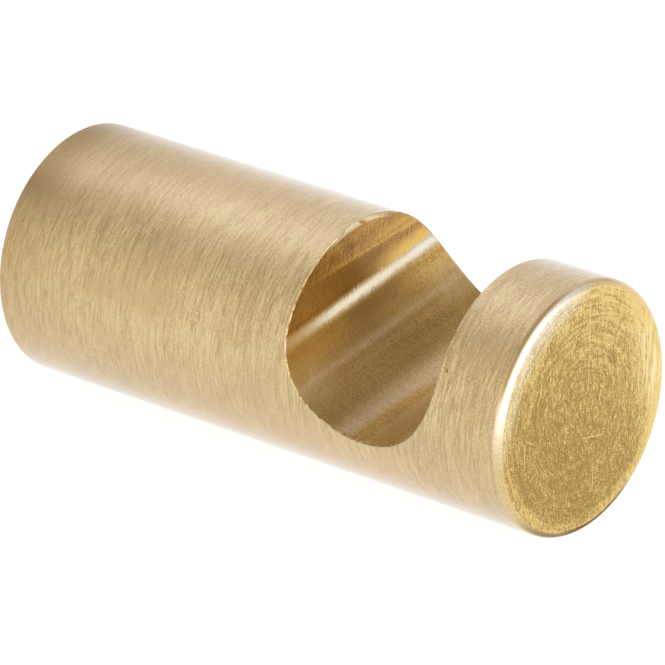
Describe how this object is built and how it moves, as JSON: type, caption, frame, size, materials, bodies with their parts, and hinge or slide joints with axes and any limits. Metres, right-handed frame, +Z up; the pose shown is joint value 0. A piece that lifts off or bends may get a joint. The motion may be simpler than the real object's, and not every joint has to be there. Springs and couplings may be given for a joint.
{
  "type": "robe hook",
  "caption": "Straight round wall hook with a round-bottomed slot milled across its top behind a blunt tip, for hanging a robe or towel by its loop.",
  "frame": {"origin": "centre of the flat wall face", "axes": "+Y into the wall along the bar's axis, so the tip is at -Y; +Z up, out of the slot's mouth; +X along the slot"},
  "size_m": [0.02, 0.05, 0.02],
  "materials": {
    "brass": "satin, brushed round the bar, with a scratched tip face and a smoother slot"
  },
  "bodies": {
    "root": {"hook_body": "brass"}
  },
  "joints": []
}
